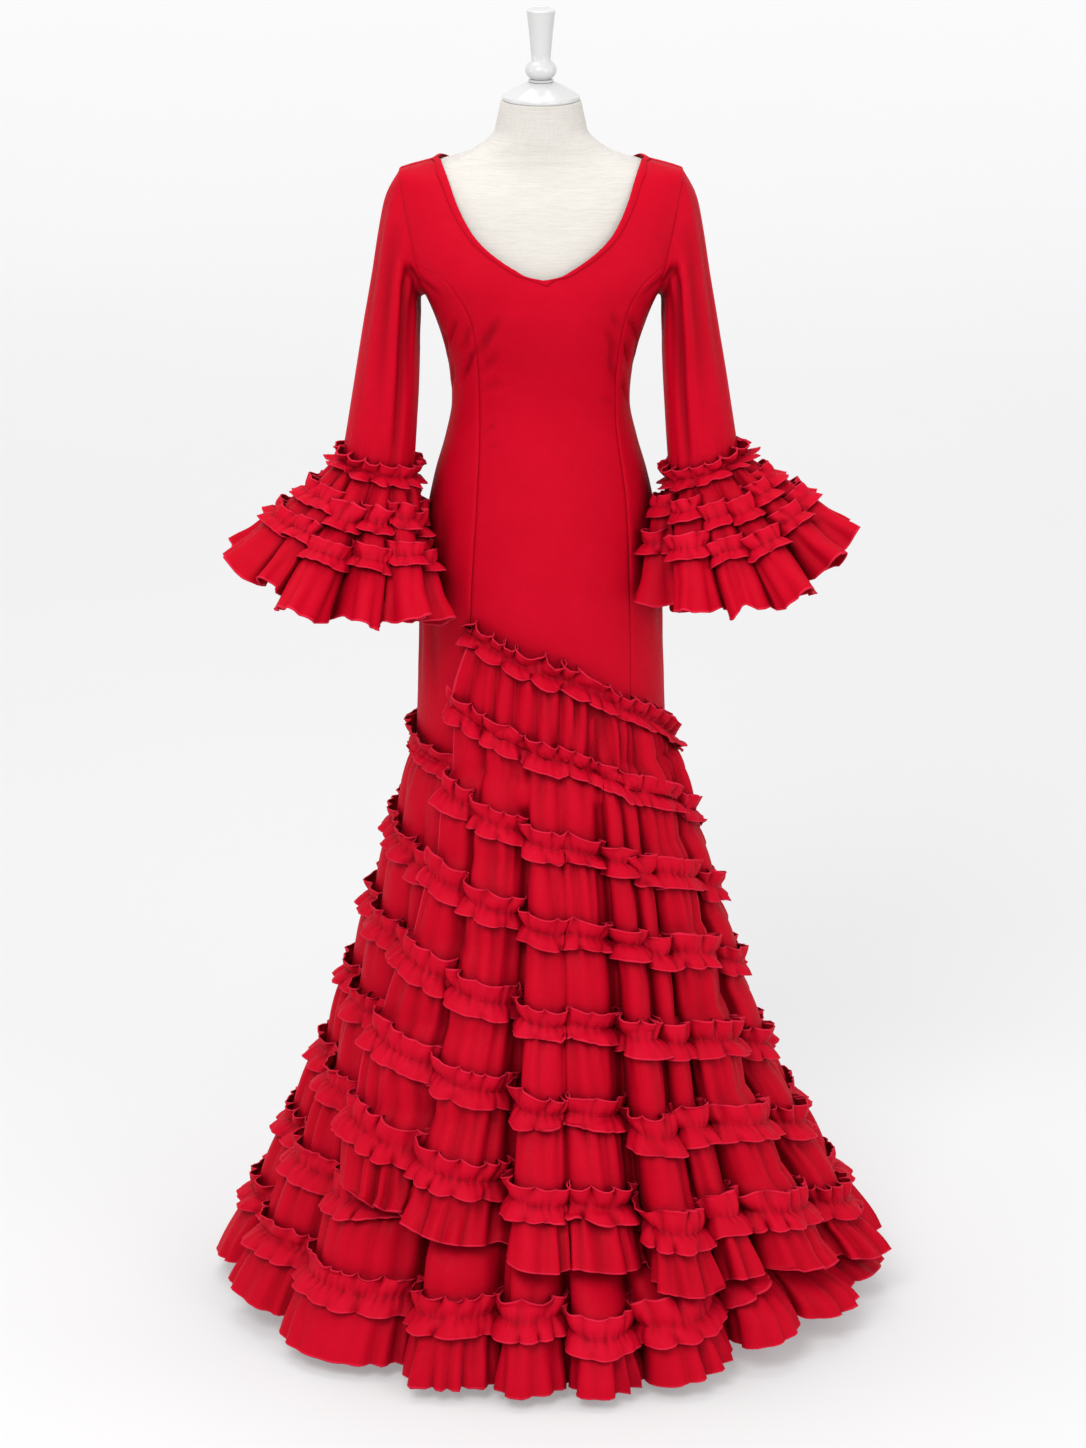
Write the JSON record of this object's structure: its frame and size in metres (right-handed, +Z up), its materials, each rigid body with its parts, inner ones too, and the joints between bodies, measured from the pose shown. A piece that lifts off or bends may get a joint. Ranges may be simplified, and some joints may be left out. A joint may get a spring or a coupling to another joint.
{
  "type": "flamenco dress on a limbless dress form",
  "caption": "Long-sleeved fitted flamenco dress with a tiered ruffled skirt, a slanting ruffled overskirt and bell cuffs, on a dress form with a pole and round base.",
  "frame": {"origin": "middle of the underside of the form's round base, on the floor", "axes": "+Z up, the dress faces -Y, +X is the dress's own left, the right-hand side seen from the front"},
  "size_m": [0.9042, 0.8681, 1.76],
  "materials": {
    "red_crepe": "matte red crepe with a fine crinkle and a soft sheen",
    "cream_linen": "matte cream linen cover, plain weave",
    "gloss_white": "gloss white",
    "pale_metal": "pale grey satin paint"
  },
  "bodies": {
    "root": {"back_centre_left": "red_crepe", "back_centre_right": "red_crepe", "back_side_left": "red_crepe", "back_side_right": "red_crepe", "cuff_ruffle_left_1": "red_crepe", "cuff_ruffle_left_2": "red_crepe", "cuff_ruffle_left_3": "red_crepe", "cuff_ruffle_right_1": "red_crepe", "cuff_ruffle_right_2": "red_crepe", "cuff_ruffle_right_3": "red_crepe", "cuff_tier_left_1": "red_crepe", "cuff_tier_left_2": "red_crepe", "cuff_tier_left_3": "red_crepe", "cuff_tier_right_1": "red_crepe", "cuff_tier_right_2": "red_crepe", "cuff_tier_right_3": "red_crepe", "flap_ruffle_1": "red_crepe", "flap_ruffle_2": "red_crepe", "flap_ruffle_3": "red_crepe", "flap_ruffle_4": "red_crepe", "flap_ruffle_5": "red_crepe", "flap_ruffle_6": "red_crepe", "flap_ruffle_7": "red_crepe", "flap_tier_1": "red_crepe", "flap_tier_2": "red_crepe", "flap_tier_3": "red_crepe", "flap_tier_4": "red_crepe", "flap_tier_5": "red_crepe", "flap_tier_6": "red_crepe", "flap_tier_7": "red_crepe", "form_base": "pale_metal", "form_cap": "gloss_white", "form_finial": "gloss_white", "form_pole": "pale_metal", "form_torso": "cream_linen", "front_centre": "red_crepe", "front_side_left": "red_crepe", "front_side_right": "red_crepe", "neck_binding": "red_crepe", "sleeve_left": "red_crepe", "sleeve_right": "red_crepe", "underskirt_ruffle_1": "red_crepe", "underskirt_ruffle_2": "red_crepe", "underskirt_ruffle_3": "red_crepe", "underskirt_ruffle_4": "red_crepe", "underskirt_ruffle_5": "red_crepe", "underskirt_ruffle_6": "red_crepe", "underskirt_ruffle_7": "red_crepe", "underskirt_tier_1": "red_crepe", "underskirt_tier_2": "red_crepe", "underskirt_tier_3": "red_crepe", "underskirt_tier_4": "red_crepe", "underskirt_tier_5": "red_crepe", "underskirt_tier_6": "red_crepe", "underskirt_tier_7": "red_crepe"}
  },
  "joints": []
}
